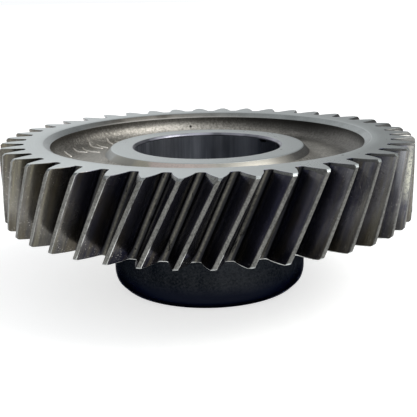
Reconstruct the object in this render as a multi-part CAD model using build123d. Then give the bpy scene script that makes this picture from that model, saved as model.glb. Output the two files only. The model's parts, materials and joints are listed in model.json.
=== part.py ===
from build123d import *
from math import acos, atan, cos, degrees, pi, radians, sin, tan
import os

# A right-hand helical transmission gear that stands on the lower end of its long hub.
# Millimetres, +Z up along the bore axis, origin on that axis in the plane of the
# hub's lower end face.

# ---- teeth ----
TOOTH_COUNT = 42
NORMAL_MODULE = 4.0
HELIX_ANGLE = 25.0
NORMAL_PRESSURE_ANGLE = 20.0
PROFILE_SHIFT = -0.77
FIRST_TOOTH_BEARING = -3.5
ADDENDUM = 1.25 * NORMAL_MODULE
DEDENDUM = 1.50 * NORMAL_MODULE
FACE_WIDTH = 36.0
TIP_CHAMFER = 1.0
ROOT_FILLET = 0.30 * NORMAL_MODULE
FLANK_POINTS = 5

# ---- heights above the hub's lower end ----
RIM_TOP = 72.5
RIM_BOTTOM = RIM_TOP - FACE_WIDTH
HUB_TOP = RIM_TOP - 4.7
WEB_FLOOR_TOP = RIM_TOP - 10.5
WEB_FLOOR_BOTTOM = RIM_TOP + RIM_BOTTOM - WEB_FLOOR_TOP

# ---- rim ring ----
RECESS_RADIUS = 74.8
RIM_BEVEL_WIDTH = 3.2
RIM_BEVEL_DEPTH = 2.2

# ---- hub ----
HUB_RADIUS = 47.0
COLLAR_RADIUS = 49.2
HUB_TOP_CHAMFER = 3.0
HUB_END_CHAMFER = 3.4
HUB_END_LEAD_WIDTH = 0.85
HUB_END_LEAD_HEIGHT = 3.2
COLLAR_TOP = HUB_TOP - HUB_TOP_CHAMFER
COLLAR_BOTTOM = WEB_FLOOR_BOTTOM - (COLLAR_TOP - WEB_FLOOR_TOP)

# ---- bore and its pressed bush ----
BORE_RADIUS = 35.0
BORE_CHAMFER = 1.0
BUSH_WALL = 4.0
BUSH_TOP = HUB_TOP - 1.6
BUSH_BOTTOM = 2.0
OIL_NOTCH_WIDTH = 7.0
OIL_NOTCH_DEPTH = 1.3
OIL_NOTCH_BEARING = 35.0

# ---- forged web: quarter-round fillets at the rim, eighth-round ones at the hub ----
OUTER_FILLET = RIM_TOP - RIM_BEVEL_DEPTH - WEB_FLOOR_TOP
INNER_FILLET = (COLLAR_TOP - WEB_FLOOR_TOP) / (1 - cos(pi / 4))

# ---- raised forging marks, plain bars in one group ----
MARK_COUNT = 6
MARK_SIZE = (8.0, 1.3, 0.6)
MARK_RADIUS = 62.0
MARK_FIRST_BEARING = 141.0
MARK_SPACING = 6.2
MARK_TURN = -38.0


def pitch_radius():
    return TOOTH_COUNT * NORMAL_MODULE / cos(radians(HELIX_ANGLE)) / 2


def tip_radius():
    return pitch_radius() + ADDENDUM


def root_radius():
    return pitch_radius() - DEDENDUM


def involute(angle):
    """The involute function of an angle in radians."""
    return tan(angle) - angle


def transverse_pressure_angle():
    return atan(tan(radians(NORMAL_PRESSURE_ANGLE)) / cos(radians(HELIX_ANGLE)))


def half_tooth_angle(radius):
    """Half the angle that one tooth takes up at a radius, in radians."""
    base_radius = pitch_radius() * cos(transverse_pressure_angle())
    at_radius = acos(base_radius / radius)
    thinning = PROFILE_SHIFT * tan(transverse_pressure_angle()) / pitch_radius()
    at_pitch = pi / (2 * TOOTH_COUNT) + thinning
    return at_pitch + involute(transverse_pressure_angle()) - involute(at_radius)


def polar(radius, angle):
    return (radius * cos(angle), radius * sin(angle))


def foot_radius():
    """The radius at which a flank meets its root fillet."""
    return root_radius() + ROOT_FILLET * (1 - sin(foot_lean()))


def foot_lean():
    """The lean of a flank's foot from the middle line of its gap, in radians."""
    return acos(pitch_radius() * cos(transverse_pressure_angle()) / (root_radius() + ROOT_FILLET))


def tooth_flank(centre, side):
    """One involute flank, from its foot to the tip; side is -1 or +1."""
    step = (tip_radius() - foot_radius()) / (FLANK_POINTS - 1)
    radii = [foot_radius() + step * i for i in range(FLANK_POINTS)]
    return [polar(r, centre + side * half_tooth_angle(r)) for r in radii]


def root_edges(gap_centre):
    """The root of one gap: a fillet, the root circle and a fillet."""
    half_gap = foot_radius() * (pi / TOOTH_COUNT - half_tooth_angle(foot_radius()))
    fillet_centre = half_gap - ROOT_FILLET * cos(foot_lean())
    bend = (pi / 2 - foot_lean()) / 2
    halfway_width = fillet_centre + ROOT_FILLET * sin(bend)
    halfway_rise = ROOT_FILLET * (1 - cos(bend))

    def place(width, rise):
        radius = root_radius() + rise
        return polar(radius, gap_centre + width / radius)

    foot_rise = foot_radius() - root_radius()
    near_foot = place(-half_gap, foot_rise)
    far_foot = place(half_gap, foot_rise)
    near_end = place(-fillet_centre, 0)
    far_end = place(fillet_centre, 0)
    return [
        ThreePointArc(near_foot, place(-halfway_width, halfway_rise), near_end).edge(),
        ThreePointArc(near_end, place(0, 0), far_end).edge(),
        ThreePointArc(far_end, place(halfway_width, halfway_rise), far_foot).edge(),
    ]


def tooth_profile():
    """The closed outline of the toothed wheel, square to its axis."""
    pitch = 2 * pi / TOOTH_COUNT
    edges = []
    for tooth in range(TOOTH_COUNT):
        centre = radians(FIRST_TOOTH_BEARING) + tooth * pitch
        near = tooth_flank(centre, -1)
        far = tooth_flank(centre, +1)
        edges.append(Spline(*near).edge())
        edges.append(ThreePointArc(near[-1], polar(tip_radius(), centre), far[-1]).edge())
        edges.append(Spline(*far).edge())
        edges.extend(root_edges(centre + pitch / 2))
    return Wire(edges)


def turned_outline(edges):
    """A solid turned about the Z axis from the edges of its section."""
    return revolve(make_face(edges), axis=Axis.Z)


def revolved(points):
    """A solid turned about the Z axis from (radius, height) points."""
    return turned_outline(Polyline(*[(r, 0, z) for r, z in points], close=True))


def twisted_wheel():
    """The plain twisted wheel, before its ends and inside are turned."""
    twist = degrees(FACE_WIDTH * tan(radians(HELIX_ANGLE)) / pitch_radius())
    wheel = Solid.extrude_linear_with_rotation(
        Face(tooth_profile()), (0, 0, 0), (0, 0, FACE_WIDTH), twist
    )
    return Pos(0, 0, RIM_BOTTOM) * wheel


def fillet_point(height_of, angle):
    """A point on the recess fillet, from its top (angle 0) to its foot (a quarter turn)."""
    radius = RECESS_RADIUS - OUTER_FILLET * (1 - cos(angle))
    return (radius, 0, height_of(OUTER_FILLET * (1 - sin(angle))))


def above_web(rise):
    return WEB_FLOOR_TOP + rise


def below_web(rise):
    return WEB_FLOOR_BOTTOM - rise


def recess_arc(height_of, start, end):
    """Part of the fillet between the rim and the web's floor."""
    middle = (start + end) / 2
    return ThreePointArc(*[fillet_point(height_of, angle) for angle in (start, middle, end)])


def rim_blank():
    """The ring that the teeth are cut in, with its tip and inner bevels."""
    tip = tip_radius()
    bevel_radius = RECESS_RADIUS + RIM_BEVEL_WIDTH
    outside = Polyline(
        fillet_point(above_web, 0),
        (bevel_radius, 0, RIM_TOP),
        (tip - TIP_CHAMFER, 0, RIM_TOP),
        (tip, 0, RIM_TOP - TIP_CHAMFER),
        (tip, 0, RIM_BOTTOM + TIP_CHAMFER),
        (tip - TIP_CHAMFER, 0, RIM_BOTTOM),
        (bevel_radius, 0, RIM_BOTTOM),
        fillet_point(below_web, 0),
    )
    seat = Line(fillet_point(above_web, pi / 4), fillet_point(below_web, pi / 4))
    walls = [recess_arc(side, 0, pi / 4) for side in (above_web, below_web)]
    return turned_outline([outside, seat, *walls])


def make_toothed_rim():
    return rim_blank() & twisted_wheel()


def web_side(height_of):
    """One curved side of the web's section, from the rim's seat to the hub's collar."""
    fillet_foot = fillet_point(height_of, pi / 2)
    run = INNER_FILLET * sin(pi / 4)
    half_run = INNER_FILLET * sin(pi / 8)
    inner_foot = (COLLAR_RADIUS + run, 0, height_of(0))
    halfway = (COLLAR_RADIUS + run - half_run, 0, height_of(INNER_FILLET * (1 - cos(pi / 8))))
    collar = (COLLAR_RADIUS, 0, height_of(COLLAR_TOP - WEB_FLOOR_TOP))
    return [
        recess_arc(height_of, pi / 4, pi / 2),
        Line(fillet_foot, inner_foot),
        ThreePointArc(inner_foot, halfway, collar),
    ]


def make_web_disc():
    seat = Line(fillet_point(above_web, pi / 4), fillet_point(below_web, pi / 4))
    collar = Line((COLLAR_RADIUS, 0, COLLAR_TOP), (COLLAR_RADIUS, 0, COLLAR_BOTTOM))
    web = turned_outline([*web_side(above_web), *web_side(below_web), seat, collar])
    return web + forging_marks()


def forging_marks():
    """Short plain bars that stand proud of the web's floor."""
    length, width, height = MARK_SIZE
    bars = []
    for i in range(MARK_COUNT):
        place = Rot(0, 0, MARK_FIRST_BEARING + i * MARK_SPACING) * Pos(MARK_RADIUS, 0, WEB_FLOOR_TOP)
        bars.append(place * Rot(0, 0, MARK_TURN) * Box(length, width, 2 * height))
    return bars


def make_hub():
    """The turned hub: bevelled top face, collar in the web, long plain sleeve below."""
    seat = BORE_RADIUS + BUSH_WALL
    lead_radius = HUB_RADIUS - HUB_END_LEAD_WIDTH
    return revolved([
        (BORE_RADIUS, BUSH_TOP),
        (seat, BUSH_TOP),
        (seat, 0),
        (lead_radius - HUB_END_CHAMFER, 0),
        (lead_radius, HUB_END_CHAMFER),
        (HUB_RADIUS, HUB_END_CHAMFER + HUB_END_LEAD_HEIGHT),
        (HUB_RADIUS, COLLAR_BOTTOM - (COLLAR_RADIUS - HUB_RADIUS)),
        (COLLAR_RADIUS, COLLAR_BOTTOM),
        (COLLAR_RADIUS, COLLAR_TOP),
        (COLLAR_RADIUS - HUB_TOP_CHAMFER, HUB_TOP),
        (BORE_RADIUS + BORE_CHAMFER, HUB_TOP),
        (BORE_RADIUS, HUB_TOP - BORE_CHAMFER),
    ])


def make_bore_bush():
    """The thin ground bush, pressed up to the shoulder under the hub's top face."""
    outer = BORE_RADIUS + BUSH_WALL
    sleeve = revolved([
        (BORE_RADIUS + BORE_CHAMFER, BUSH_BOTTOM),
        (outer, BUSH_BOTTOM),
        (outer, BUSH_TOP),
        (BORE_RADIUS, BUSH_TOP),
        (BORE_RADIUS, BUSH_BOTTOM + BORE_CHAMFER),
    ])
    notch = Box(BUSH_WALL, OIL_NOTCH_WIDTH, 2 * OIL_NOTCH_DEPTH)
    place = Rot(0, 0, OIL_NOTCH_BEARING) * Pos(BORE_RADIUS, 0, BUSH_TOP)
    return sleeve - place * notch


os.makedirs("parts", exist_ok=True)
export_step(make_toothed_rim(), "parts/toothed_rim.step")
export_step(make_web_disc(), "parts/web_disc.step")
export_step(make_hub(), "parts/hub.step")
export_step(make_bore_bush(), "parts/bore_bush.step")
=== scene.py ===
import bmesh
import bpy
import json
import math
import random
from mathutils import Matrix, Vector, noise


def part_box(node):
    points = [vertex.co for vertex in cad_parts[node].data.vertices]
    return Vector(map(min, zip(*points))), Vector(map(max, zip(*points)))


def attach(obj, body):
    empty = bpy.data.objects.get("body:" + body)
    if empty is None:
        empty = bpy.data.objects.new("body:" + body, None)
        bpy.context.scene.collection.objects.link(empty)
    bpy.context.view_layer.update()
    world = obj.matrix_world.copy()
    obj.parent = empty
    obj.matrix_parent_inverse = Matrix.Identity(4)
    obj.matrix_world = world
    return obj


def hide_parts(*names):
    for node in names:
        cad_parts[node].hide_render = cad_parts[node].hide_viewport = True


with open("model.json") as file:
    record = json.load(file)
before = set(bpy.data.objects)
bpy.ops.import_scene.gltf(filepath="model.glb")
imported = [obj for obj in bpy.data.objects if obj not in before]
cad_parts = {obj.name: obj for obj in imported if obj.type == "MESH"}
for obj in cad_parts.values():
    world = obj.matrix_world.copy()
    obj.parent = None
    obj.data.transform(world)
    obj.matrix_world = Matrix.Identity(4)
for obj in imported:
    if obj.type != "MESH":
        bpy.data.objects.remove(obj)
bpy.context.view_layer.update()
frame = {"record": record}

MM = 0.001

# ---- sizes read from the frame ----
RIM_LOW, RIM_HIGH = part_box("toothed_rim")
_, WEB_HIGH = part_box("web_disc")
_, HUB_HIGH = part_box("hub")
BUSH_LOW, BUSH_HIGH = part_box("bore_bush")
BORE = next(m for m in frame["record"]["mounts"] if m["name"] == "bore")

# ---- the teeth ----
TOOTH_COUNT = 42
NORMAL_MODULE = 4.0 * MM
HELIX_ANGLE = math.radians(25.0)
NORMAL_PRESSURE_ANGLE = math.radians(20.0)
PROFILE_SHIFT = -0.77 * MM
ADDENDUM = 1.25 * NORMAL_MODULE
DEDENDUM = 1.50 * NORMAL_MODULE
ROOT_FILLET = 0.30 * NORMAL_MODULE
TIP_CHAMFER = 1.0 * MM
EDGE_BREAK = 0.15 * MM
LOWER_EDGE_BREAK = 0.35 * MM
FIRST_TOOTH_BEARING = math.radians(-3.5)
HALF_PITCH = math.pi / TOOTH_COUNT
POLISHED_TOOTH = -3
# Counting up from this tooth gives a tooth that crosses -X a single number.
LOWEST_TOOTH = -25

RIM_BOTTOM = RIM_LOW[2]
RIM_TOP = RIM_HIGH[2]
FACE_WIDTH = RIM_TOP - RIM_BOTTOM
PITCH_RADIUS = TOOTH_COUNT * NORMAL_MODULE / math.cos(HELIX_ANGLE) / 2
TIP_RADIUS = PITCH_RADIUS + ADDENDUM
ROOT_RADIUS = PITCH_RADIUS - DEDENDUM
TWIST_PER_METRE = math.tan(HELIX_ANGLE) / PITCH_RADIUS

# ---- the recess, the hub and the bush ----
SEAM_RADIUS = WEB_HIGH[0]
COLLAR_RADIUS = HUB_HIGH[0]
COLLAR_STEP = 2.2 * MM
HUB_TOP = HUB_HIGH[2]
HUB_RADIUS = COLLAR_RADIUS - COLLAR_STEP
BORE_RADIUS = BORE["dims"]["r_mm"] * MM
BORE_CHAMFER = 1.0 * MM
BUSH_RADIUS = BUSH_HIGH[0]
BUSH_TOP = BUSH_HIGH[2]
BUSH_BOTTOM = BUSH_LOW[2]

RECESS_RADIUS = 74.8 * MM
RECESS_DEPTH = 10.5 * MM
RIM_BEVEL_WIDTH = 3.2 * MM
RIM_BEVEL_DEPTH = 2.2 * MM
FLOOR_TOP = RIM_TOP - RECESS_DEPTH
FLOOR_BOTTOM = RIM_BOTTOM + RECESS_DEPTH
OUTER_FILLET = RIM_TOP - RIM_BEVEL_DEPTH - FLOOR_TOP
HUB_TOP_CHAMFER = 3.0 * MM
COLLAR_TOP = HUB_TOP - HUB_TOP_CHAMFER
COLLAR_BOTTOM = FLOOR_BOTTOM - (COLLAR_TOP - FLOOR_TOP)
INNER_FILLET = (COLLAR_TOP - FLOOR_TOP) / (1 - math.cos(math.pi / 4))


def about_axis(radius, angle, height):
    """The point at a radius, an angle in radians from +X and a height."""
    return (radius * math.cos(angle), radius * math.sin(angle), height)


# ---- node helpers ----

class Nodes:
    """Adds shader nodes to a node tree. A value is a socket or a constant."""

    def __init__(self, tree):
        self.tree = tree

    def add(self, kind, inputs=None, **settings):
        """A new node with the values of some of its inputs and settings."""
        node = self.tree.nodes.new("ShaderNode" + kind)
        for name, value in settings.items():
            setattr(node, name, value)
        for name, value in (inputs or {}).items():
            self.feed(node.inputs[name], value)
        return node

    def feed(self, socket, value):
        """Links an input to a socket, or sets it to a number, a vector or an RGB colour."""
        if isinstance(value, bpy.types.NodeSocket):
            self.tree.links.new(value, socket)
        elif socket.type == "RGBA":
            socket.default_value = (*value, 1.0)
        else:
            socket.default_value = value

    def maths(self, operation, first, second=0.0):
        """A Math node on one or two values."""
        return self.add("Math", {0: first, 1: second}, operation=operation).outputs["Value"]

    def times(self, first, *others):
        """The product of values."""
        for other in others:
            first = self.maths("MULTIPLY", first, other)
        return first

    def rest(self, value):
        """What a value leaves of 1."""
        return self.maths("SUBTRACT", 1.0, value)

    def weighted(self, first, second, share):
        """The mean of two values, with a share for the first and the rest for the second."""
        return self.maths("ADD", self.times(first, share), self.times(second, 1 - share))

    def spread(self, value, low, high, to_low=0.0, to_high=1.0):
        """The part of a value between low and high, stretched to a new range."""
        limits = {"From Min": low, "From Max": high, "To Min": to_low, "To Max": to_high}
        return self.add("MapRange", {"Value": value, **limits}).outputs["Result"]

    def within(self, value, zone, top=1.0):
        """Top inside a zone of (start, full, still full, end), falling to 0 outside it."""
        start, full, still_full, end = zone
        return self.times(self.spread(value, start, full), self.spread(value, still_full, end, top, 0.0))

    def mixed(self, factor, first, second):
        """A mix of two colours."""
        node = self.add("Mix", {"Factor": factor}, data_type="RGBA")
        for name, colour in (("A", first), ("B", second)):
            self.feed(next(s for s in node.inputs if s.name == name and s.type == "RGBA"), colour)
        return next(s for s in node.outputs if s.type == "RGBA")

    def shades(self, value, low, high, first, second):
        """The first colour up to a low value, the second from a high value on, mixed between."""
        return self.mixed(self.spread(value, low, high), first, second)

    def layered(self, colour, layers):
        """A colour with (share, colour) layers mixed over it in turn."""
        for share, layer in layers:
            colour = self.mixed(share, colour, layer)
        return colour

    def vector_maths(self, operation, first, second=None):
        """A Vector Math node; the product is a vector and every other result is a number."""
        inputs = {0: first} if second is None else {0: first, 1: second}
        node = self.add("VectorMath", inputs, operation=operation)
        return node.outputs["Vector" if operation == "MULTIPLY" else "Value"]

    def split(self, vector):
        """The X, Y and Z parts of a vector."""
        return tuple(self.add("SeparateXYZ", {"Vector": vector}).outputs)


class Surface(Nodes):
    """A Principled material, with values that depend on the place on the gear, in metres."""

    def __init__(self, name, metallic=1.0):
        self.material = bpy.data.materials.new(name)
        self.material.use_nodes = True
        super().__init__(self.material.node_tree)
        self.tree.nodes.clear()
        self.output = self.add("OutputMaterial").inputs["Surface"]
        self.shader = self.add("BsdfPrincipled")
        self.feed(self.output, self.shader.outputs["BSDF"])
        self.set("Metallic", metallic)

    def set(self, name, value):
        """Sets one input of the Principled shader."""
        self.feed(self.shader.inputs[name], value)

    def finish(self, colour, roughness):
        """Sets the colour and the roughness, and gives the material."""
        self.set("Base Color", colour)
        self.set("Roughness", roughness)
        return self.material

    def bump(self, height, distance, strength):
        """Bump from a height value, on top of the bumps added before it."""
        node = self.add("Bump", {"Strength": strength, "Distance": distance, "Height": height})
        for link in self.shader.inputs["Normal"].links:
            self.feed(node.inputs["Normal"], link.from_socket)
        self.set("Normal", node.outputs["Normal"])

    def place(self):
        """Object coordinates."""
        return self.add("TexCoord").outputs["Object"]

    def stretched(self, height_scale):
        """Object coordinates with the heights scaled; a small scale draws streaks upwards."""
        return self.vector_maths("MULTIPLY", self.place(), (1, 1, height_scale))

    def height(self):
        """The height above the hub's lower end."""
        return self.split(self.place())[2]

    def radius(self):
        """The distance from the bore axis."""
        return self.vector_maths("LENGTH", self.stretched(0))

    def angle(self):
        """The bearing about the bore axis, in radians from +X."""
        x, y, _ = self.split(self.place())
        return self.maths("ARCTAN2", y, x)

    def bearing(self):
        """The bearing about the bore axis, from 0 to 1 for a whole turn from -X."""
        return self.maths("ADD", self.maths("DIVIDE", self.angle(), 2 * math.pi), 0.5)

    def unwound(self):
        """The bearing in radians with the helix unwound, so that it is constant along a tooth."""
        wound = self.times(self.maths("SUBTRACT", self.height(), RIM_BOTTOM), TWIST_PER_METRE)
        return self.maths("SUBTRACT", self.angle(), wound)

    def pitches(self):
        """The unwound bearing counted in teeth, with 0 in the middle of the first tooth."""
        turned = self.maths("SUBTRACT", self.unwound(), FIRST_TOOTH_BEARING)
        return self.maths("DIVIDE", turned, 2 * HALF_PITCH)

    def tooth_number(self):
        """The number of the tooth that a point belongs to, with 0 at the first tooth."""
        number = self.maths("FLOOR", self.maths("ADD", self.pitches(), 0.5))
        counted = self.maths("SUBTRACT", number, LOWEST_TOOTH)
        return self.maths("ADD", self.maths("FLOORED_MODULO", counted, TOOTH_COUNT), LOWEST_TOOTH)

    def on_tooth(self, number):
        """1 on one tooth and 0 on the others."""
        return self.maths("COMPARE", self.tooth_number(), number)

    def tooth_chance(self):
        """A random value from 0 to 1 for each tooth."""
        number = self.tooth_number()
        return self.add("TexWhiteNoise", {"W": number}, noise_dimensions="1D").outputs["Value"]

    def along_tooth(self, stretch):
        """Coordinates for streaks along the teeth: radius, arc length and height times stretch."""
        arc = self.times(self.unwound(), PITCH_RADIUS)
        parts = {"X": self.radius(), "Y": arc, "Z": self.times(self.height(), stretch)}
        return self.add("CombineXYZ", parts).outputs["Vector"]

    def noise(self, scale, detail, roughness=0.55, place=None):
        """A noise value from 0 to 1, with scale cells for each metre."""
        place = self.place() if place is None else place
        inputs = {"Scale": scale, "Detail": detail, "Roughness": roughness, "Vector": place}
        return self.add("TexNoise", inputs).outputs["Fac"]

    def ring_noise(self, spacing):
        """Turning marks: noise that depends only on the distance from the axis."""
        inputs = {"Scale": 1.0 / spacing, "Detail": 2.0, "W": self.radius()}
        return self.add("TexNoise", inputs, noise_dimensions="1D").outputs["Fac"]

    def pits(self, spacing, size, share):
        """1 in small pits at random places and 0 elsewhere; share of the cells have one."""
        cells = self.add("TexVoronoi", {"Scale": 1.0 / spacing, "Vector": self.place()})
        distance = cells.outputs["Distance"]
        inside = self.spread(distance, 0.55 * size / spacing, size / spacing, 1.0, 0.0)
        return self.times(inside, self.maths("LESS_THAN", self.split(cells.outputs["Color"])[0], share))

    def with_spot(self, pits, radius, bearing, height, size):
        """Pits with one more, at a radius, a bearing in degrees and a height."""
        centre = about_axis(radius, math.radians(bearing), height)
        distance = self.vector_maths("DISTANCE", self.place(), centre)
        return self.maths("MAXIMUM", pits, self.spread(distance, 0.6 * size, size, 1.0, 0.0))


# ---- materials ----

# Noise scales, in cells for each metre.
FINE_GRAIN = 1300.0
SKIN_GRAIN = 1100.0
COARSE_GRAIN = 900.0

GRAIN_DEPTH = 0.03 * MM

# Zones round the gear for Nodes.within, in turns from -X; the front is at 0.25.
TURNED_FRONT = (0.08, 0.14, 0.34, 0.42)
STAINED_BACK = (0.66, 0.80, 0.86, 0.92)
BLUE_SIDE = (0.20, 0.34, 0.70, 0.95)
FLANK_FRONT = (0.130, 0.175, 0.30, 0.335)
PAINTED_GLINTS = (0.448, 0.453, 0.525, 0.535)
PAINTED_LIT_TIPS = (0.27, 0.30, 0.42, 0.46)
FACETS_RIGHT = (0.30, 0.335, 0.75, 0.95)
RECESS_SHADED_RIGHT = (0.44, 0.48, 0.60, 0.70)
RECESS_SHADOW = (0.55, 0.62, 0.69, 0.74)

PALE_TURNED = (0.55, 0.59, 0.585)


def turned_face_material():
    """Light grey turned steel with a cool tint, fine rings, faint stains and a few pits."""
    look = Surface("turned_face")
    stains = look.noise(45.0, 5.0)
    rings = look.ring_noise(0.5 * MM)
    tone = look.weighted(stains, rings, 0.7)
    clean = look.shades(tone, 0.35, 0.65, (0.44, 0.475, 0.47), PALE_TURNED)
    # painted light: the front of the rim's face is painted lighter
    painted_front_light = look.within(look.bearing(), TURNED_FRONT, 0.6)
    on_rim = look.spread(look.radius(), 60 * MM, 70 * MM)
    clean = look.mixed(look.times(painted_front_light, on_rim), clean, (0.66, 0.70, 0.695))
    pits = look.pits(9 * MM, 0.42 * MM, 0.16)
    pits = look.with_spot(pits, 80.5 * MM, -46, RIM_TOP, 0.75 * MM)
    pits = look.with_spot(pits, 38.1 * MM, -26, HUB_TOP, 0.7 * MM)
    specks = look.noise(COARSE_GRAIN, 2.0)
    stained_rough = look.spread(stains, 0.3, 0.7, 0.26, 0.35)
    rough = look.maths("ADD", stained_rough, look.spread(specks, 0.4, 0.8, 0.0, 0.07))
    look.bump(rings, 0.02 * MM, 0.6)
    look.bump(specks, 0.02 * MM, 0.5)
    look.bump(look.rest(pits), 0.15 * MM, 0.8)
    return look.finish(look.mixed(pits, clean, (0.06, 0.06, 0.06)), rough)


def rim_bevel_material():
    """The bevel inside the rim: turned grey, painted lighter on the left as painted light, with a long
    brownish stain and a lighter line along the lip behind.
    """
    look = Surface("rim_bevel")
    clouds = look.noise(70.0, 4.0)
    grain = look.noise(FINE_GRAIN, 3.0, 0.7)
    bearing = look.bearing()
    grey = look.shades(clouds, 0.35, 0.65, (0.30, 0.325, 0.325), (0.40, 0.43, 0.43))
    brown = look.shades(clouds, 0.38, 0.62, (0.165, 0.152, 0.132), (0.33, 0.31, 0.275))
    # painted light: the bevel is painted lighter near -X, on the left
    painted_light_near_left = look.spread(bearing, 0.08, 0.20, 0.5, 0.0)
    painted_light_far_left = look.spread(bearing, 0.92, 1.0, 0.0, 0.5)
    grey = look.mixed(look.maths("ADD", painted_light_near_left, painted_light_far_left), grey, (0.50, 0.535, 0.535))
    stained = look.within(bearing, STAINED_BACK)
    steel = look.mixed(stained, grey, brown)
    lip = look.spread(look.radius(), RECESS_RADIUS + 0.5 * MM, RECESS_RADIUS + 1.0 * MM, 0.8, 0.0)
    steel = look.mixed(look.times(stained, lip), steel, (0.50, 0.485, 0.45))
    colour = look.mixed(look.spread(grain, 0.45, 0.75, 0.0, 0.5), steel, (0.16, 0.155, 0.145))
    look.bump(grain, GRAIN_DEPTH, 0.5)
    return look.finish(colour, 0.34)


def flank_material():
    """Oiled tooth flank, grey near the tip and streaked along the tooth.
    Painted shade darkens it towards the root, on the upper left flanks and near the bottom,
    and at the front it has a painted dark blue reflection.

    One tooth has a polished strip with a painted highlight, its neighbour a thin light line,
    and a few tops have painted glints.
    """
    look = Surface("tooth_flank", 0.94)
    bearing = look.bearing()
    height = look.height()
    radius = look.radius()
    lines = look.noise(1900.0, 2.0, 0.6, look.along_tooth(0.02))
    smears = look.noise(130.0, 4.0, place=look.along_tooth(0.30))
    streaks = look.noise(520.0, 4.0, 0.65, look.along_tooth(0.05))
    clouds = look.noise(42.0, 4.0)
    grain = look.noise(COARSE_GRAIN, 3.0, 0.7)
    outward = look.spread(radius, ROOT_RADIUS + 1.0 * MM, TIP_RADIUS - 2.0 * MM)

    # painted shade: the tone follows the share of the tooth's height, dark at the root and the worn grey
    # at the tip
    tone = look.times(outward, look.spread(clouds, 0.28, 0.60, 0.60, 1.0))
    for texture, reach, strength in ((lines, 0.18, 0.16), (grain, 0.18, 0.14), (streaks, 0.16, 0.22)):
        part = look.spread(texture, 0.5 - reach, 0.5 + reach, -strength, strength)
        tone = look.maths("ADD", tone, part)
    tone = look.times(tone, look.spread(look.tooth_chance(), 0.0, 1.0, 0.80, 1.10))

    side = look.within(bearing, BLUE_SIDE)
    worn_and_lit = look.mixed(side, (0.33, 0.315, 0.275), (0.27, 0.265, 0.275))
    colour = look.shades(tone, 0.0, 1.0, (0.045, 0.050, 0.085), worn_and_lit)
    # painted dark reflection: the upper parts of the flanks on the left are darker
    left = look.maths("MAXIMUM", look.spread(bearing, 0.20, 0.13), look.spread(bearing, 0.86, 0.98))
    high = look.times(left, look.spread(height, RIM_TOP - 22 * MM, RIM_TOP - 4 * MM, 0.40, 0.85))
    # painted shade: darker near the bottom
    low = look.spread(height, RIM_BOTTOM + 4 * MM, RIM_BOTTOM + 12 * MM, 0.75, 0.0)
    front = look.within(bearing, FLANK_FRONT)
    scuffs = look.times(look.spread(streaks, 0.50, 0.66, 0.0, 0.60), look.rest(look.times(front, 0.8)))
    colour = look.layered(colour, (
        # painted shade and painted dark reflection: upper left, bottom, blue-black at the front, near
        # black at the front bottom
        (high, (0.080, 0.075, 0.061)),
        (low, (0.050, 0.048, 0.045)),
        (look.times(front, 0.6), (0.040, 0.044, 0.100)),
        (look.times(front, low), (0.008, 0.008, 0.010)),
        (look.spread(smears, 0.50, 0.64, 0.0, 0.75), (0.105, 0.092, 0.068)),
        (look.times(scuffs, outward), (0.23, 0.215, 0.155)),
        (look.times(look.spread(smears, 0.48, 0.36, 0.0, 0.70), side), (0.055, 0.055, 0.078)),
        # painted highlights on the polished strip and the glints, and a thin light line
        (polished_strip_highlight(look, radius, height, grain), (0.49, 0.485, 0.405)),
        (painted_glints(look, radius, height, bearing), (0.95, 0.94, 0.87)),
        (thin_light_line(look, radius, height), (0.40, 0.41, 0.43)),
        (look.spread(look.noise(1500.0, 1.0), 0.66, 0.74, 0.0, 0.7), (0.45, 0.43, 0.40)),
        (look.pits(7 * MM, 0.34 * MM, 0.25), (0.012, 0.012, 0.012)),
    ))
    # painted shade: reflections near the bottom, deepest at the front, are tinted almost black
    low_front = look.times(low, look.maths("MAXIMUM", front, 0.45))
    look.set("Specular Tint", look.mixed(low_front, (1.0, 1.0, 1.0), (0.0, 0.0, 0.02)))
    look.bump(lines, 0.012 * MM, 0.6)
    return look.finish(colour, look.spread(clouds, 0.3, 0.7, 0.18, 0.30))


def polished_strip_highlight(look, radius, height, grain):
    """The polished strip under the tip of the polished tooth, painted bright as a highlight, dimmer at
    its top.
    """
    return look.times(
        look.on_tooth(POLISHED_TOOTH),
        look.spread(radius, TIP_RADIUS - 3.2 * MM, TIP_RADIUS - 1.6 * MM),
        look.spread(height, RIM_TOP - 26 * MM, RIM_TOP - 18 * MM),
        look.spread(grain, 0.36, 0.54, 0.35, 1.0),
        look.spread(height, RIM_TOP - 8 * MM, RIM_TOP - 3 * MM, 1.0, 0.45),
    )


def painted_glints(look, radius, height, bearing):
    """Painted glints: the bright tops of a few flanks."""
    return look.times(
        look.within(bearing, PAINTED_GLINTS, 0.85),
        look.spread(radius, TIP_RADIUS - 10.0 * MM, TIP_RADIUS - 7.5 * MM),
        look.spread(height, RIM_TOP - 7 * MM, RIM_TOP - 4 * MM),
    )


def thin_light_line(look, radius, height):
    """A thin light line under the tip of the tooth before the polished one."""
    under_tip = [TIP_RADIUS - drop * MM for drop in (3.4, 2.6, 1.2, 0.6)]
    return look.times(
        look.within(radius, under_tip),
        look.on_tooth(POLISHED_TOOTH - 1),
        look.spread(height, RIM_TOP - 17 * MM, RIM_TOP - 12 * MM, 0.0, 0.6),
    )


def land_material():
    """Grainy mid-grey tooth tip."""
    look = Surface("tooth_tip")
    grain = look.noise(FINE_GRAIN, 3.0, 0.75)
    clouds = look.noise(120.0, 4.0)
    tone = look.weighted(grain, clouds, 0.7)
    clean = look.shades(tone, 0.40, 0.60, (0.095, 0.095, 0.090), (0.23, 0.23, 0.215))
    colour = look.mixed(look.pits(5 * MM, 0.36 * MM, 0.30), clean, (0.02, 0.02, 0.02))
    look.bump(grain, 0.04 * MM, 0.7)
    return look.finish(colour, look.spread(clouds, 0.3, 0.7, 0.38, 0.52))


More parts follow.
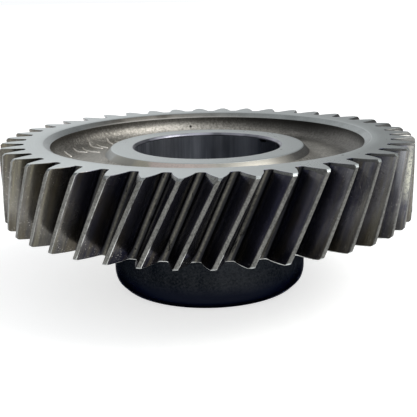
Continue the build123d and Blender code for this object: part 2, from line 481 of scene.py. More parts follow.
def root_material():
    """The rougher hobbed root of a tooth gap, with dark chips: a dull strip painted as lit, between
    fillets painted black as shade.
    """
    look = Surface("tooth_root")
    grain = look.noise(FINE_GRAIN, 3.0, 0.7)
    runs = look.noise(260.0, 3.0, place=look.along_tooth(0.15))
    tone = look.weighted(grain, runs, 0.4)
    dull = look.shades(tone, 0.38, 0.62, (0.045, 0.043, 0.037), (0.20, 0.193, 0.163))
    # painted light and shade: a lit strip along the root, turning black towards the fillets
    across = look.maths("FRACT", look.pitches())
    painted_lit_strip = look.times(
        look.spread(across, 0.41, 0.48, 0.2, 1.0),
        look.spread(across, 0.485, 0.545, 1.0, 0.12),
        look.spread(look.radius(), ROOT_RADIUS + 0.02 * MM, ROOT_RADIUS + 0.45 * MM, 1.0, 0.0),
    )
    colour = look.mixed(painted_lit_strip, (0.016, 0.017, 0.022), dull)
    chips = look.spread(look.noise(420.0, 3.0, 0.7, look.along_tooth(0.5)), 0.60, 0.64)
    look.bump(grain, GRAIN_DEPTH, 0.6)
    return look.finish(look.mixed(chips, colour, (0.012, 0.012, 0.012)), 0.40)


def edge_material():
    """Bright metal along the corner of a tooth tip: worn metal with a painted highlight, dimmed on the
    left as painted shade.
    """
    look = Surface("worn_and_lit_edge")
    bearing = look.bearing()
    # wear and painted highlight, dimmed near -X by painted shade
    worn_and_lit = look.times(
        look.spread(look.noise(260.0, 4.0), 0.32, 0.58),
        look.spread(bearing, 0.13, 0.20, 0.25, 1.0),
        look.spread(bearing, 0.80, 0.95, 1.0, 0.25),
    )
    return look.finish(look.mixed(worn_and_lit, (0.12, 0.12, 0.11), (0.80, 0.82, 0.80)), 0.30)


def tip_bevel_material():
    """The turned chamfer on the tooth tips, with a painted highlight on the front right teeth."""
    look = Surface("tip_bevel")
    grain = look.noise(COARSE_GRAIN, 3.0)
    dull = look.shades(grain, 0.36, 0.64, (0.16, 0.17, 0.17), (0.32, 0.34, 0.34))
    look.bump(grain, 0.02 * MM, 0.5)
    # painted highlight: the chamfers of the front right teeth are painted pale
    return look.finish(look.mixed(look.within(look.bearing(), PAINTED_LIT_TIPS), dull, PALE_TURNED), 0.32)


def facet_material():
    """The filed bevels on the tooth ends, with painted shade on the right."""
    look = Surface("filed_bevel")
    grain = look.noise(FINE_GRAIN, 3.0, 0.7)
    steel = look.shades(grain, 0.36, 0.66, (0.15, 0.15, 0.14), (0.36, 0.37, 0.36))
    # painted shade: the bevels are painted darker on the right and at the back
    right = look.within(look.bearing(), FACETS_RIGHT, 0.8)
    look.bump(grain, GRAIN_DEPTH, 0.6)
    return look.finish(look.mixed(right, steel, (0.05, 0.05, 0.05)), 0.40)


def forged_material():
    """Brownish shot-blasted forging skin: fine dents and specks, with painted shade that darkens it up
    the wall.

    The foot of the far wall has a painted highlight, and the right side has painted shade and a painted
    shadow at the foot of the wall.
    """
    look = Surface("forged_skin")
    bearing = look.bearing()
    height = look.height()
    radius = look.radius()
    grain = look.noise(SKIN_GRAIN, 4.0, 0.7)
    clouds = look.noise(38.0, 4.0)
    mottle = look.noise(820.0, 2.0, 0.7)
    tone = look.weighted(grain, clouds, 0.45)
    colour = look.shades(tone, 0.36, 0.66, (0.195, 0.187, 0.165), (0.52, 0.50, 0.455))
    # painted highlight along the foot of the far wall
    painted_highlight_band = look.times(
        look.spread(bearing, 0.70, 0.79, 0.12, 1.0),
        look.spread(bearing, 0.825, 0.885, 1.0, 0.0),
        look.spread(height, RIM_TOP - 5.4 * MM, RIM_TOP - 7.0 * MM),
        look.spread(radius, 66 * MM, 71 * MM),
        look.spread(look.noise(700.0, 3.0, 0.7), 0.36, 0.58, 0.15, 1.0),
    )
    brown_end = look.times(
        look.spread(bearing, 0.80, 0.88, 0.0, 0.6),
        look.spread(radius, 68 * MM, 72 * MM),
        look.spread(bearing, 0.95, 1.0, 1.0, 0.0),
    )
    # painted shade on the right of the recess, deeper towards the wall, and a painted shadow at the foot
    # of the right wall
    painted_shade_right = look.within(bearing, RECESS_SHADED_RIGHT)
    painted_shade_right = look.times(painted_shade_right, look.spread(radius, 60 * MM, 71 * MM, 0.10, 0.70))
    shadow = look.within(bearing, RECESS_SHADOW, 0.7)
    shadow = look.times(shadow, look.spread(radius, 71 * MM, 73.5 * MM))
    pits = look.pits(8 * MM, 0.5 * MM, 0.2)
    pits = look.with_spot(pits, 73.3 * MM, 97.3, RIM_TOP - 6.9 * MM, 0.9 * MM)
    colour = look.layered(colour, (
        (look.spread(look.noise(1900.0, 2.0), 0.58, 0.70, 0.0, 0.7), (0.62, 0.60, 0.54)),
        (painted_highlight_band, (0.40, 0.382, 0.35)),
        (brown_end, (0.10, 0.092, 0.080)),
        (look.spread(mottle, 0.46, 0.34, 0.0, 0.25), (0.75, 0.72, 0.65)),
        # painted shade: the wall darkens up towards the rim's bevel
        (look.spread(height, RIM_TOP - 6.4 * MM, RIM_TOP - 3.6 * MM, 0.0, 0.75), (0.055, 0.050, 0.044)),
        (painted_shade_right, (0.095, 0.093, 0.090)),
        (shadow, (0.016, 0.016, 0.016)),
        (look.spread(mottle, 0.50, 0.64, 0.0, 0.42), (0.060, 0.056, 0.048)),
        (pits, (0.03, 0.027, 0.024)),
    ))
    look.bump(look.noise(420.0, 3.0, 0.6), 0.12 * MM, 0.5)
    look.bump(grain, 0.16 * MM, 0.8)
    return look.finish(colour, look.spread(clouds, 0.3, 0.7, 0.36, 0.50))


def ridge_material():
    """The light tops of the forging ridges."""
    look = Surface("light_ridge_tops")
    grain = look.noise(SKIN_GRAIN, 4.0, 0.7)
    look.bump(grain, 0.06 * MM, 0.6)
    colour = look.shades(grain, 0.36, 0.62, (0.66, 0.64, 0.59), (0.95, 0.92, 0.86))
    return look.finish(colour, 0.45)


def black_sleeve_material():
    """Near-black oiled skin of the lower hub, partly its own dark colour and partly painted shade under
    the rim: grainy above, smooth at its foot, which a painted dark blue reflection tints.
    """
    look = Surface("black_sleeve")
    grain = look.noise(1000.0, 4.0, 0.75)
    clouds = look.noise(60.0, 4.0, place=look.stretched(0.6))
    tone = look.weighted(grain, clouds, 0.6)
    # near black: the skin's dark colour, darkened further as painted shade
    skin = look.shades(tone, 0.40, 0.62, (0.003, 0.005, 0.008), (0.034, 0.037, 0.042))
    foot = look.spread(look.height(), 7.0 * MM, 13.0 * MM, 1.0, 0.0)
    # painted reflection: the foot's colour and the specular tint are a dark blue reflection
    colour = look.mixed(foot, skin, (0.0075, 0.0092, 0.0160))
    look.set("Specular Tint", (0.10, 0.12, 0.20))
    look.bump(look.times(grain, look.rest(foot)), 0.35 * MM, 1.0)
    return look.finish(colour, look.spread(foot, 0.0, 1.0, 0.55, 0.36))


def hub_bevel_material():
    """Turned bevel round the hub's upper face, with bands of painted reflection in warm tints from the
    web on one side, and painted shade beyond them.
    """
    look = Surface("hub_bevel")
    clouds = look.noise(60.0, 4.0)
    grain = look.noise(1200.0, 3.0, 0.7)
    bearing = look.maths("ADD", look.bearing(), look.spread(clouds, 0.3, 0.7, -0.012, 0.012))
    plain = look.shades(clouds, 0.36, 0.62, (0.34, 0.355, 0.345), (0.44, 0.45, 0.435))
    steel = plain
    # bands of painted warm reflection and darker painted shade by bearing, then back to plain steel
    for start, end, tint in (
        (0.070, 0.080, (0.36, 0.355, 0.32)),
        (0.128, 0.140, (0.46, 0.435, 0.36)),
        (0.158, 0.170, (0.62, 0.53, 0.49)),
        (0.235, 0.265, (0.33, 0.32, 0.285)),
        (0.350, 0.405, (0.10, 0.098, 0.092)),
        (0.520, 0.700, plain),
    ):
        steel = look.mixed(look.spread(bearing, start, end), steel, tint)
    colour = look.mixed(look.spread(grain, 0.42, 0.75, 0.0, 0.5), steel, (0.30, 0.29, 0.27))
    look.bump(grain, GRAIN_DEPTH, 0.5)
    return look.finish(colour, 0.42)


def ground_bore_material():
    """Blue-grey ground bore with streaks along the axis, with painted shade that darkens it on the right
    and at the front, so it is lightest at the back left.
    """
    look = Surface("ground_bore")
    streaks = look.noise(260.0, 5.0, 0.65, look.stretched(0.04))
    bands = look.noise(30.0, 2.0, place=look.stretched(0.0))
    stains = look.noise(45.0, 4.0, place=look.stretched(0.5))
    bearing = look.bearing()
    tone = look.maths("ADD", look.times(streaks, 0.5), look.times(stains, 0.2))
    tone = look.maths("ADD", tone, look.times(bands, 0.3))
    colour = look.shades(tone, 0.40, 0.62, (0.26, 0.28, 0.32), (0.86, 0.88, 0.94))
    # painted shade inside the bore, on the right and at the front
    painted_bore_shade = look.times(look.spread(bearing, 0.55, 0.87, 0.95, 0.0), look.spread(bearing, 0.0, 0.08))
    colour = look.mixed(painted_bore_shade, colour, (0.09, 0.10, 0.125))
    look.bump(streaks, 0.015 * MM, 0.5)
    return look.finish(colour, look.spread(stains, 0.3, 0.7, 0.24, 0.38))


def bore_edge_material():
    """The small bevel at the mouth of the bore."""
    look = Surface("bore_edge")
    stains = look.noise(90.0, 4.0)
    colour = look.shades(stains, 0.36, 0.64, (0.14, 0.145, 0.165), (0.34, 0.34, 0.39))
    look.bump(look.noise(700.0, 2.0), 0.02 * MM, 0.5)
    return look.finish(colour, 0.30)


FLOOR_GLOW = 0.66


def floor_material():
    """A pale sheet that glows a little, so that shadows on it stay light; clear from below."""
    look = Surface("pale_floor", 0.0)
    look.set("Emission Color", (1.0, 1.0, 1.0))
    look.set("Emission Strength", FLOOR_GLOW)
    look.set("Specular IOR Level", 0.1)
    below = look.add("NewGeometry").outputs["Backfacing"]
    clear = look.add("BsdfTransparent").outputs["BSDF"]
    sheet = look.add("MixShader", {"Fac": below, 1: look.shader.outputs["BSDF"], 2: clear})
    look.feed(look.output, sheet.outputs["Shader"])
    return look.finish(look.mixed(look.noise(3.0, 2.0), (0.61, 0.61, 0.61), (0.63, 0.63, 0.63)), 0.9)


# ---- mesh helpers ----

SHARP_ANGLE = math.radians(24)
SEGMENTS = 480
WEB_SEGMENTS = 720


def in_scene(name, data):
    """A new object in the scene that shows some data."""
    item = bpy.data.objects.new(name, data)
    bpy.context.scene.collection.objects.link(item)
    return item


def make_object(name, points, faces, slots, materials):
    """A mesh object from points, faces, each face's material index and materials."""
    mesh = bpy.data.meshes.new(name)
    mesh.from_pydata(points, [], faces)
    for material in materials:
        mesh.materials.append(material)
    mesh.polygons.foreach_set("material_index", slots)
    mesh.polygons.foreach_set("use_smooth", [True] * len(mesh.polygons))
    mesh.update()
    mesh.set_sharp_from_angle(angle=SHARP_ANGLE)
    return in_scene(name, mesh)


def ring_faces(low, top, count):
    """The faces between two rings of points, given by their first indices."""
    pairs = [(n, (n + 1) % count) for n in range(count)]
    return [(low + n, low + m, top + m, top + n) for n, m in pairs]


def turned_piece(name, profile, band_slots, materials, segments=SEGMENTS, wave=None):
    """A closed piece turned about Z from a closed (radius, height) profile.

    wave(index, radius, height, angle) gives the radius and height of profile point index.
    """
    count = len(profile)
    points = []
    for s in range(segments):
        angle = 2 * math.pi * s / segments
        for i, (radius, height) in enumerate(profile):
            if wave:
                radius, height = wave(i, radius, height, angle)
            points.append(about_axis(radius, angle, height))
    faces = []
    for s in range(segments):
        here = s * count
        there = ((s + 1) % segments) * count
        for i in range(count):
            j = (i + 1) % count
            faces.append((here + i, there + i, there + j, here + j))
    return make_object(name, points, faces, band_slots * segments, materials)


def subdivided(profile, tags, longest):
    """A closed profile with its long edges cut up; tags are each edge's material index."""
    points = []
    slots = []
    for i, (radius, height) in enumerate(profile):
        next_radius, next_height = profile[(i + 1) % len(profile)]
        run = next_radius - radius
        climb = next_height - height
        pieces = max(1, math.ceil(math.hypot(run, climb) / longest))
        for share in [k / pieces for k in range(pieces)]:
            points.append((radius + run * share, height + climb * share))
            slots.append(tags[i])
    return points, slots


def rounded(corners, steps=3):
    """A closed profile with rounded corners from (radius, height, reach, tag) corners.

    Reach is how far from the corner its curve starts and ends; the tag is the material
    index of the edge that follows it.
    """
    points = []
    tags = []
    for i, (radius, height, reach, tag) in enumerate(corners):
        if reach == 0:
            points.append((radius, height))
            tags.append(tag)
            continue
        here = Vector((radius, height))
        before = Vector(corners[i - 1][:2])
        after = Vector(corners[(i + 1) % len(corners)][:2])
        start = here + (before - here).normalized() * reach
        end = here + (after - here).normalized() * reach
        for k in range(steps + 1):
            t = k / steps
            spot = start * (1 - t) ** 2 + here * 2 * t * (1 - t) + end * t ** 2
            points.append(tuple(spot))
            tags.append(tag)
    return points, tags


# ---- the forged recess ----

WALL_STEPS = 7
FLOOR_FILLET_STEPS = 8
FLAT_STEPS = 12
INNER_STEPS = 9
# The relief of the skin fades out over this many steps where the skin ends.
FADE_STEPS = 3
# Waves and dents of the skin: (cells for each metre, height).
SKIN_RELIEF = ((60.0, 0.22 * MM), (430.0, 0.075 * MM))
# Where the rim's part of the outer fillet ends and the web's part begins.
SEAM_TURN = math.pi / 4


def dented(radius, height, way, fade, angle):
    """The radius and height of a point of the forged skin, moved along its section's normal."""
    place = Vector(about_axis(radius, angle, height))
    shift = sum(noise.noise(place * scale) * depth for scale, depth in SKIN_RELIEF) * fade
    return radius + way[0] * shift, height + way[1] * shift


def fillet_section(start, end, steps):
    """Points (radius, rise, normal) of the recess fillet between two of its angles."""
    section = []
    for k in range(steps + 1):
        turn = start + (end - start) * k / steps
        radius = RECESS_RADIUS - OUTER_FILLET * (1 - math.cos(turn))
        rise = OUTER_FILLET * (1 - math.sin(turn))
        section.append((radius, rise, (-math.cos(turn), math.sin(turn))))
    return section


# ---- toothed rim ----

def involute(angle):
    """The involute function of a pressure angle."""
    return math.tan(angle) - angle


TRANSVERSE_PRESSURE_ANGLE = math.atan(math.tan(NORMAL_PRESSURE_ANGLE) / math.cos(HELIX_ANGLE))
BASE_RADIUS = PITCH_RADIUS * math.cos(TRANSVERSE_PRESSURE_ANGLE)
FOOT_LEAN = math.acos(BASE_RADIUS / (ROOT_RADIUS + ROOT_FILLET))
FOOT_RADIUS = ROOT_RADIUS + ROOT_FILLET * (1 - math.sin(FOOT_LEAN))


def half_tooth_angle(radius):
    """Half the angle that one tooth takes up at a radius."""
    thinning = PROFILE_SHIFT * math.tan(TRANSVERSE_PRESSURE_ANGLE) / PITCH_RADIUS
    at_radius = math.acos(BASE_RADIUS / radius)
    return HALF_PITCH / 2 + thinning + involute(TRANSVERSE_PRESSURE_ANGLE) - involute(at_radius)


def root_samples(steps):
    """(radius, angle from the gap's centre) from a flank's foot to the gap's centre."""
    half_gap = FOOT_RADIUS * (HALF_PITCH - half_tooth_angle(FOOT_RADIUS))
    centre = half_gap - ROOT_FILLET * math.cos(FOOT_LEAN)
    samples = []
    for k in range(steps + 1):
        bend = (math.pi / 2 - FOOT_LEAN) * (1 - k / steps)
        radius = ROOT_RADIUS + ROOT_FILLET * (1 - math.cos(bend))
        samples.append((radius, (centre + ROOT_FILLET * math.sin(bend)) / radius))
    samples.append((ROOT_RADIUS, 0.0))
    return samples


FLANK_STEPS = 9
LAND_STEPS = 3
FILLET_STEPS = 4
STATIONS = 18
CORNER = 0.28 * MM
LAND_CORNER = 0.8 * CORNER
BEVEL_RUN = 2.6 * MM
BEVEL_CUT = 0.80 * MM
LEAST_BEVEL = 0.3 * MM
# The bevelled side of each tooth at its upper and its lower end.
BEVELLED_SIDES = (-1, +1)
# How far each tooth's bevels reach, as a share of BEVEL_RUN: from, to.
UPPER_BEVELS = (0.35, 1.0)
LOWER_BEVELS = (0.2, 0.8)
BEVEL_SEED = 11


def tooth_samples():
    """The samples of one tooth, from gap centre to gap centre.

    Each is (kind, share or radius, angle, side). A flank sample's share runs from 0 at
    its foot to 1 at the tip corner.
    """
    root = root_samples(FILLET_STEPS)
    samples = [("root", radius, angle - HALF_PITCH, -1) for radius, angle in reversed(root[1:])]
    for k in range(FLANK_STEPS + 1):
        samples.append(("flank", k / FLANK_STEPS, 0.0, -1))
    for k in range(LAND_STEPS + 1):
        samples.append(("land", 1.0, -1 + 2 * k / LAND_STEPS, 0))
    for k in range(FLANK_STEPS, -1, -1):
        samples.append(("flank", k / FLANK_STEPS, 0.0, +1))
    for radius, angle in root[1:-1]:
        samples.append(("root", radius, HALF_PITCH - angle, +1))
    return samples


def sample_point(sample, tooth, depth, inset, bevels):
    """Where one sample of a tooth lies at a depth below the top face."""
    kind, share, where, side = sample
    height = RIM_TOP - depth
    from_end = min(depth, FACE_WIDTH - depth)
    tip = TIP_RADIUS - max(0.0, TIP_CHAMFER - from_end)
    corner_radius = tip - CORNER
    end = 0 if depth < FACE_WIDTH / 2 else 1

    def bevel_cut(radius):
        reach = BEVEL_RUN * bevels[end] * (radius - FOOT_RADIUS) / (TIP_RADIUS - FOOT_RADIUS)
        return max(0.0, reach - from_end) * BEVEL_CUT / BEVEL_RUN / radius

    if kind == "root":
        radius, angle = share - inset, where
    elif kind == "flank":
        radius = FOOT_RADIUS + (corner_radius - FOOT_RADIUS) * share
        half = half_tooth_angle(radius) - inset / radius
        if side == BEVELLED_SIDES[end]:
            half -= bevel_cut(radius)
        radius -= inset * share
        angle = side * half
    else:
        radius = tip - inset
        halves = {}
        for edge in (-1, +1):
            halves[edge] = half_tooth_angle(corner_radius) - (LAND_CORNER + inset) / radius
            if edge == BEVELLED_SIDES[end]:
                halves[edge] -= bevel_cut(corner_radius)
        middle = (halves[+1] - halves[-1]) / 2
        span = (halves[+1] + halves[-1]) / 2
        angle = middle + where * span
    bearing = FIRST_TOOTH_BEARING + 2 * HALF_PITCH * tooth + angle
    bearing += TWIST_PER_METRE * (height - RIM_BOTTOM)
    return about_axis(radius, bearing, height)


def bevel_depths(sample, bevels, end):
    """The depths of the two rings that follow a sample's bevel at one end."""
    kind, share, _, side = sample
    if kind == "flank" and side == BEVELLED_SIDES[end]:
        reach = BEVEL_RUN * bevels[end] * share
        return min(TIP_CHAMFER, max(reach, LEAST_BEVEL)), max(TIP_CHAMFER, reach)
    return TIP_CHAMFER, BEVEL_RUN


def rim_rings(samples, bevels):
    """All rings of points from the top face to the bottom face."""
    def ring(depth_of, inset):
        return [
            sample_point(sample, tooth, depth_of(sample, bevels[tooth]), inset, bevels[tooth])
            for tooth in range(TOOTH_COUNT) for sample in samples
        ]

    def level(depth, inset=0.0):
        return ring(lambda sample, cuts: depth, inset)

    plain = FACE_WIDTH - 2 * BEVEL_RUN
    rings = [level(0.0, EDGE_BREAK), level(EDGE_BREAK)]
    rings += [ring(lambda s, cuts, w=w: bevel_depths(s, cuts, 0)[w], 0.0) for w in (0, 1)]
    rings += [level(BEVEL_RUN + plain * k / STATIONS) for k in range(1, STATIONS)]
    rings += [ring(lambda s, cuts, w=w: FACE_WIDTH - bevel_depths(s, cuts, 1)[w], 0.0) for w in (1, 0)]
    rings += [level(FACE_WIDTH - LOWER_EDGE_BREAK), level(FACE_WIDTH, LOWER_EDGE_BREAK)]
    return rings


RIM_MATERIALS = {
    "face": turned_face_material, "flank": flank_material, "land": land_material,
    "root": root_material, "edge": edge_material, "facet": facet_material,
    "skin": forged_material, "bevel": rim_bevel_material, "tip": tip_bevel_material,
}
RIM_SLOTS = tuple(RIM_MATERIALS)


def band_slot(ring, rings, here, there):
    """The material index of the band between two samples, under one ring."""
    if ring == 0:
        name = "face" if here[0] == there[0] == "land" else "flank"
    elif ring == rings - 2:
        name = "edge"
    elif here[0] == "land" and there[0] == "land":
        name = "tip" if ring in (1, rings - 3) else "land"
    elif "land" in (here[0], there[0]):
        name = "edge" if there[3] == +1 else "land"
    elif "root" in (here[0], there[0]):
        name = "root"
    elif ring in (1, 2) and here[3] == -1:
        name = "facet"
    else:
        name = "flank"
    return RIM_SLOTS.index(name)


def toothed_rim():
    """The toothed ring, with bevels that differ a little from tooth to tooth."""
    chance = random.Random(BEVEL_SEED)
    samples = tooth_samples()
    around = len(samples) * TOOTH_COUNT
    bevels = [(chance.uniform(*UPPER_BEVELS), chance.uniform(*LOWER_BEVELS)) for _ in range(TOOTH_COUNT)]
    rings = rim_rings(samples, bevels)
    points = [point for ring in rings for point in ring]
    faces = []
    slots = []
    pairs = list(zip(samples, samples[1:] + samples[:1]))
    for ring in range(len(rings) - 1):
        faces += ring_faces((ring + 1) * around, ring * around, around)
        slots += [band_slot(ring, len(rings), here, there) for here, there in pairs] * TOOTH_COUNT

    last = 0
    for radius, height, way, fade, name in rim_inside():
        start = len(points)
        for n in range(around):
            angle = math.atan2(points[n][1], points[n][0]) + TWIST_PER_METRE * (height - RIM_TOP)
            r, z = dented(radius, height, way, fade, angle)
            points.append(about_axis(r, angle, z))
        faces += ring_faces(last, start, around)
        slots += [RIM_SLOTS.index(name)] * around
        last = start
    faces += ring_faces(last, (len(rings) - 1) * around, around)
    slots += [RIM_SLOTS.index("face")] * around

    materials = [material() for material in RIM_MATERIALS.values()]
    return make_object("toothed_rim_detail", points, faces, slots, materials)


def rim_inside():
    """The rings inside the teeth: (radius, height, normal, relief share, band above it)."""
    bevel_radius = RECESS_RADIUS + RIM_BEVEL_WIDTH
    flat = (0.0, 0.0)
    upper = [
        ((ROOT_RADIUS + bevel_radius) / 2, RIM_TOP, flat, 0.0, "face"),
        # the next two points break the face's inner edge
        (bevel_radius + 0.3 * MM, RIM_TOP, flat, 0.0, "face"),
        (bevel_radius - 0.25 * MM, RIM_TOP - 0.2 * MM, flat, 0.0, "face"),
        (RECESS_RADIUS, RIM_TOP - RIM_BEVEL_DEPTH, flat, 0.0, "bevel"),
    ]
    wall = fillet_section(0.0, SEAM_TURN, WALL_STEPS)
    for k, (radius, rise, way) in enumerate(wall[1:], 1):
        upper.append((radius, FLOOR_TOP + rise, way, min(1.0, k / FADE_STEPS), "skin"))
    lower = []
    for k, (radius, rise, way) in reversed(list(enumerate(wall))):
        name = "face" if k == len(wall) - 1 else "skin"
        lower.append((radius, FLOOR_BOTTOM - rise, (way[0], -way[1]), min(1.0, k / FADE_STEPS), name))
    mirrored = [(r, RIM_TOP + RIM_BOTTOM - z, way, fade, "face") for r, z, way, fade, _ in upper[2::-1]]
    return upper + lower + mirrored


# ---- web ----

def web_side():
    """(radius, rise, normal, relief share) along one side of the web, rim to hub."""
    section = [(*point, 1.0) for point in fillet_section(SEAM_TURN, math.pi / 2, FLOOR_FILLET_STEPS)]
    start = section[-1][0]
    end = COLLAR_RADIUS + INNER_FILLET * math.sin(math.pi / 4)
    for k in range(1, FLAT_STEPS + 1):
        section.append((start + (end - start) * k / FLAT_STEPS, 0.0, (0.0, 1.0), 1.0))
    for k in range(1, INNER_STEPS + 1):
        turn = math.pi / 4 * k / INNER_STEPS
        radius = end - INNER_FILLET * math.sin(turn)
        rise = INNER_FILLET * (1 - math.cos(turn))
        fade = min(1.0, (INNER_STEPS - k) / FADE_STEPS)
        section.append((radius, rise, (math.sin(turn), math.cos(turn)), fade))
    return section


def web_disc(materials):
    """The forged web with its ridges; the materials are its skin and the ridges' tops."""
    side = web_side()
    rows = [(r, FLOOR_TOP + rise, way, fade) for r, rise, way, fade in side]
    rows += [(r, FLOOR_BOTTOM - rise, (way[0], -way[1]), fade) for r, rise, way, fade in reversed(side)]

    def wave(index, radius, height, angle):
        return dented(radius, height, rows[index][2], rows[index][3], angle)

    profile = [(row[0], row[1]) for row in rows]
    disc = turned_piece("web_disc_detail", profile, [0] * len(rows), materials, WEB_SEGMENTS, wave)
    add_ridges(disc, side)
    return disc


# Forging ridges: each a run of (radius in mm, bearing in degrees) points, outer end first.
RIDGES = (
    ((71.8, 171.8), (69.6, 173.2), (67.1, 175.5)),
    ((71.3, 163.2), (66.2, 165.1), (62.7, 164.5)),
    ((69.6, 157.6), (62.2, 163.2), (56.6, 163.5)),
    ((72.0, 150.1), (65.4, 153.5), (60.6, 153.3)),
    ((69.2, 147.6), (62.3, 151.0), (58.9, 151.2)),
    ((72.0, 138.9), (67.4, 140.9), (63.3, 142.4)),
    ((68.9, 136.5), (66.0, 136.9), (63.5, 137.5)),
)
RIDGE_WIDTH = 0.85 * MM
RIDGE_HEIGHT = 0.60 * MM
RIDGE_STEPS = 14
RIDGE_SIDES = 8
RIDGE_SLOT = 1


def surface_rise(side, radius):
    """The rise of the web's smooth upper side at a radius."""
    for (r0, z0, _, _), (r1, z1, _, _) in zip(side, side[1:]):
        if r1 <= radius <= r0:
            return z0 + (z1 - z0) * (r0 - radius) / (r0 - r1)
    return side[0][1]


def add_ridges(disc, side):
    """Low rounded ridges that taper at both ends, raised on the web's upper side."""
    points = []
    faces = []
    for ridge in RIDGES:
        knots = [Vector(about_axis(r * MM, math.radians(b), 0)) for r, b in ridge]
        first = len(points)
        bend = 2 * knots[1] - (knots[0] + knots[2]) / 2
        for k in range(RIDGE_STEPS + 1):
            t = k / RIDGE_STEPS
            spot = knots[0] * (1 - t) ** 2 + bend * 2 * t * (1 - t) + knots[2] * t ** 2
            way = ((bend - knots[0]) * (1 - t) + (knots[2] - bend) * t).normalized()
            across = Vector((-way.y, way.x, 0))
            # thick in the middle, and thin but not sharp at the ends
            taper = 0.12 + 0.88 * math.sin(math.pi * (0.08 + 0.84 * t)) ** 0.7
            for j in range(RIDGE_SIDES):
                turn = 2 * math.pi * j / RIDGE_SIDES
                point = spot + across * RIDGE_WIDTH * taper * math.cos(turn)
                base = FLOOR_TOP + surface_rise(side, min(point.xy.length, SEAM_RADIUS))
                lift = RIDGE_HEIGHT * taper * math.sin(turn)
                points.append((point.x, point.y, base + lift))
        for k in range(RIDGE_STEPS):
            faces += ring_faces(first + k * RIDGE_SIDES, first + (k + 1) * RIDGE_SIDES, RIDGE_SIDES)
        last = first + RIDGE_STEPS * RIDGE_SIDES
        faces.append(tuple(reversed(range(first, first + RIDGE_SIDES))))
        faces.append(tuple(range(last, last + RIDGE_SIDES)))
    join_faces(disc, points, faces, RIDGE_SLOT)


def join_faces(piece, points, faces, slot):
    """Adds closed forms to a piece's mesh, all in one of its materials."""
    build = bmesh.new()
    build.from_mesh(piece.data)
    added = [build.verts.new(point) for point in points]
    new_faces = [build.faces.new([added[i] for i in face]) for face in faces]
    for face in new_faces:
        face.smooth = True
        face.material_index = slot
    bmesh.ops.recalc_face_normals(build, faces=new_faces)
    build.to_mesh(piece.data)
    build.free()


# ---- hub and bush ----

def hub(materials):
    """The turned hub; the materials are its face, upper bevel, black sleeve and bore mouth."""
    face, bevel, black, mouth = range(4)
    corners = [
        (BORE_RADIUS, BUSH_TOP, 0, mouth),
        (BUSH_RADIUS, BUSH_TOP, 0, face),
        (BUSH_RADIUS, 0.0, 0.25 * MM, black),
        (HUB_RADIUS - 4.25 * MM, 0.0, 0.7 * MM, black),
        (HUB_RADIUS - 0.85 * MM, 3.4 * MM, 1.2 * MM, black),
        (HUB_RADIUS, 6.6 * MM, 1.4 * MM, black),
        (HUB_RADIUS, COLLAR_BOTTOM - COLLAR_STEP, 0.5 * MM, black),
        (COLLAR_RADIUS, COLLAR_BOTTOM, 0, black),
        (COLLAR_RADIUS, COLLAR_TOP, 0.2 * MM, bevel),
        (COLLAR_RADIUS - HUB_TOP_CHAMFER, HUB_TOP, 0.3 * MM, face),
        (BORE_RADIUS + BORE_CHAMFER, HUB_TOP, 0.15 * MM, mouth),
        (BORE_RADIUS, HUB_TOP - BORE_CHAMFER, 0.2 * MM, mouth),
    ]
    points, slots = subdivided(*rounded(corners), 2.0 * MM)
    return turned_piece("hub_detail", points, slots, materials)


OIL_NOTCH_BEARING = math.radians(35.0)
OIL_NOTCH_WIDTH = 7.0 * MM
OIL_NOTCH_DEPTH = 1.3 * MM
OIL_NOTCH_SLOPE = 4
UPPER_END = BUSH_TOP - 0.01 * MM


def bore_bush(materials):
    """The ground bush, with an oil notch in its upper end."""
    corners = [
        (BORE_RADIUS + BORE_CHAMFER, BUSH_BOTTOM, 0.25 * MM, 0),
        (BUSH_RADIUS, BUSH_BOTTOM, 0.2 * MM, 0),
        (BUSH_RADIUS, BUSH_TOP, 0, 0),
        (BORE_RADIUS, BUSH_TOP, 0, 0),
        (BORE_RADIUS, BUSH_BOTTOM + BORE_CHAMFER, 0.25 * MM, 0),
    ]
    points, slots = subdivided(*rounded(corners), 2.5 * MM)

    def wave(index, radius, height, angle):
        away = abs(angle - OIL_NOTCH_BEARING) * BORE_RADIUS / (OIL_NOTCH_WIDTH / 2)
        if height > UPPER_END and away < 1:
            height -= OIL_NOTCH_DEPTH * min(1.0, OIL_NOTCH_SLOPE * (1 - away))
        return radius, height

    return turned_piece("bore_bush_detail", points, slots, materials, wave=wave)


# ---- stage ----

CAMERA_LENS = 69.9
CAMERA_PLACE = (0.0, -0.3871, RIM_TOP + 0.0639)
CAMERA_PITCH = math.radians(14.57)
CAMERA_ROLL = math.radians(-1.13)


def add_camera():
    """A camera in front of the gear, looking a little down on it."""
    data = bpy.data.cameras.new("camera")
    data.sensor_width = 36.0
    data.lens = CAMERA_LENS
    data.clip_start = 0.01
    camera = in_scene("camera", data)
    camera.matrix_world = (
        Matrix.Translation(CAMERA_PLACE)
        @ Matrix.Rotation(math.pi / 2 - CAMERA_PITCH, 4, "X")
        @ Matrix.Rotation(CAMERA_ROLL, 4, "Z")
    )
    bpy.context.scene.camera = camera


FLOOR_REACH = 30.0


def add_floor():
    """A square floor at height 0."""
    corners = [(x * FLOOR_REACH, y * FLOOR_REACH, 0) for x, y in ((-1, -1), (1, -1), (1, 1), (-1, 1))]
    mesh = bpy.data.meshes.new("floor")
    mesh.from_pydata(corners, [], [(0, 1, 2, 3)])
    mesh.materials.append(floor_material())
    floor = in_scene("floor", mesh)


SUN_DIRECTION = Vector((0.62, -0.15, 0.77))


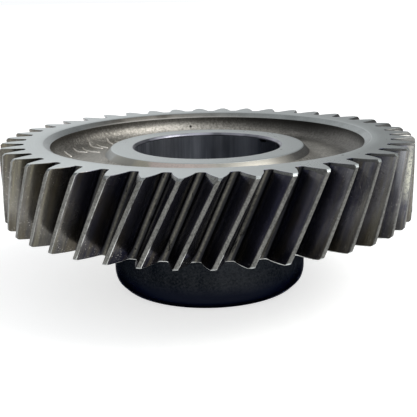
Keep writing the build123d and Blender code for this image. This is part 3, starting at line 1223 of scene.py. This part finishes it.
def add_key_light():
    """One soft sun, high on the right."""
    data = bpy.data.lights.new("key", "SUN")
    data.energy = 1.0
    data.angle = math.radians(28.0)
    data.color = (1.0, 0.975, 0.93)
    in_scene("key", data).rotation_euler = SUN_DIRECTION.to_track_quat("Z", "Y").to_euler()


# Soft windows of the studio: (direction, cosine where it starts, cosine where it is full, strength)
WINDOWS = (
    ((0.58, 0.0, 0.81), 0.80, 0.96, 0.95),
    ((-0.20, -0.10, 0.97), 0.60, 0.95, 0.50),
    ((-0.40, 0.88, 0.25), 0.77, 0.98, 0.74),
    ((0.48, -0.70, 0.53), 0.90, 0.985, 1.3),
)
STUDIO_BASE = 0.22


def add_world():
    """A dim studio with soft bright windows; the camera sees it as plain and almost white."""
    world = bpy.data.worlds.new("studio")
    bpy.context.scene.world = world
    world.use_nodes = True
    nodes = Nodes(world.node_tree)
    way = nodes.add("TexCoord").outputs["Generated"]
    level = STUDIO_BASE
    for direction, start, full, strength in WINDOWS:
        towards = nodes.vector_maths("DOT_PRODUCT", way, Vector(direction).normalized())
        level = nodes.maths("ADD", level, nodes.spread(towards, start, full, 0.0, strength))
    seen = nodes.add("LightPath").outputs["Is Camera Ray"]
    background = world.node_tree.nodes["Background"]
    strength = nodes.maths("ADD", seen, nodes.times(level, nodes.rest(seen)))
    nodes.feed(background.inputs["Strength"], strength)
    nodes.feed(background.inputs["Color"], (0.97, 0.985, 1.0))


bpy.context.scene.view_settings.view_transform = "Standard"
add_camera()
add_floor()
add_world()
add_key_light()

rim_piece = toothed_rim()
web_piece = web_disc([forged_material(), ridge_material()])
hub_piece = hub([
    turned_face_material(), hub_bevel_material(), black_sleeve_material(), bore_edge_material(),
])
bush_piece = bore_bush([ground_bore_material()])

for piece, node, slot in (
    (rim_piece, "toothed_rim", "cut_teeth"),
    (web_piece, "web_disc", "forged_web"),
    (hub_piece, "hub", "turned_hub"),
    (bush_piece, "bore_bush", "ground_bush"),
):
    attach(piece, "root")
    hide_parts(node)

bpy.context.view_layer.update()
